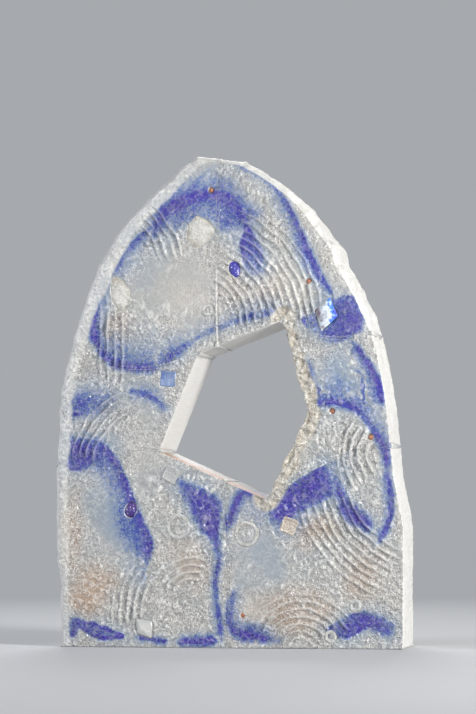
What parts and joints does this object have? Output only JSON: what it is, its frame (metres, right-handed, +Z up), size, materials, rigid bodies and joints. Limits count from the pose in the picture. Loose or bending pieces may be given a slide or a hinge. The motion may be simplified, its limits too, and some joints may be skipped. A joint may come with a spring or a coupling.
{
  "type": "glass sculpture",
  "caption": "Standing cast-glass sculpture: a thick slab with a blunt pointed-arch outline, an off-centre angular window, blue-violet layers in its joints and small set glass pieces.",
  "frame": {"origin": "on the ground under the middle of the slab's width and depth", "axes": "+Z up towards the apex, +X to the right seen from the front, front face towards -Y"},
  "size_m": [0.251, 0.0616, 0.35],
  "materials": {
    "cast_glass": "frosted, grainy as cast",
    "pale_veil": "milky, satin",
    "cobalt_veil": "tinted, satin",
    "cobalt_glass": "tinted, fire polished",
    "violet_glass": "tinted, fire polished",
    "ruby_glass": "tinted, fire polished",
    "iridescent_glass": "iridescent, glossy",
    "clear_glass": "clear, glossy",
    "sand_glass": "sandy, matt",
    "opal_glass": "opal, matt",
    "copper_glass": "tinted, glossy"
  },
  "bodies": {
    "root": {"crown_left_block": "cast_glass", "left_flank_block": "cast_glass", "left_foot_block": "cast_glass", "right_foot_block": "cast_glass", "right_flank_block": "cast_glass", "crown_right_block": "cast_glass", "crown_veil": "pale_veil", "left_shoulder_veil": "cobalt_veil", "left_knee_veil": "cobalt_veil", "base_veil": "cobalt_veil", "right_knee_veil": "cobalt_veil", "right_shoulder_veil": "cobalt_veil", "blue_tile": "cobalt_glass", "clear_tile": "clear_glass", "sand_tile": "sand_glass", "iridescent_shard": "iridescent_glass", "clear_chip": "clear_glass", "round_opal": "opal_glass", "slim_opal": "opal_glass", "violet_nugget": "violet_glass", "ruby_nugget": "ruby_glass", "left_ring": "clear_glass", "right_ring": "clear_glass", "crown_ring": "clear_glass", "foot_ring": "clear_glass", "base_ring": "clear_glass", "crown_fleck": "copper_glass", "brow_fleck": "copper_glass", "flank_fleck": "copper_glass", "knee_fleck": "copper_glass", "foot_fleck": "copper_glass"}
  },
  "joints": []
}
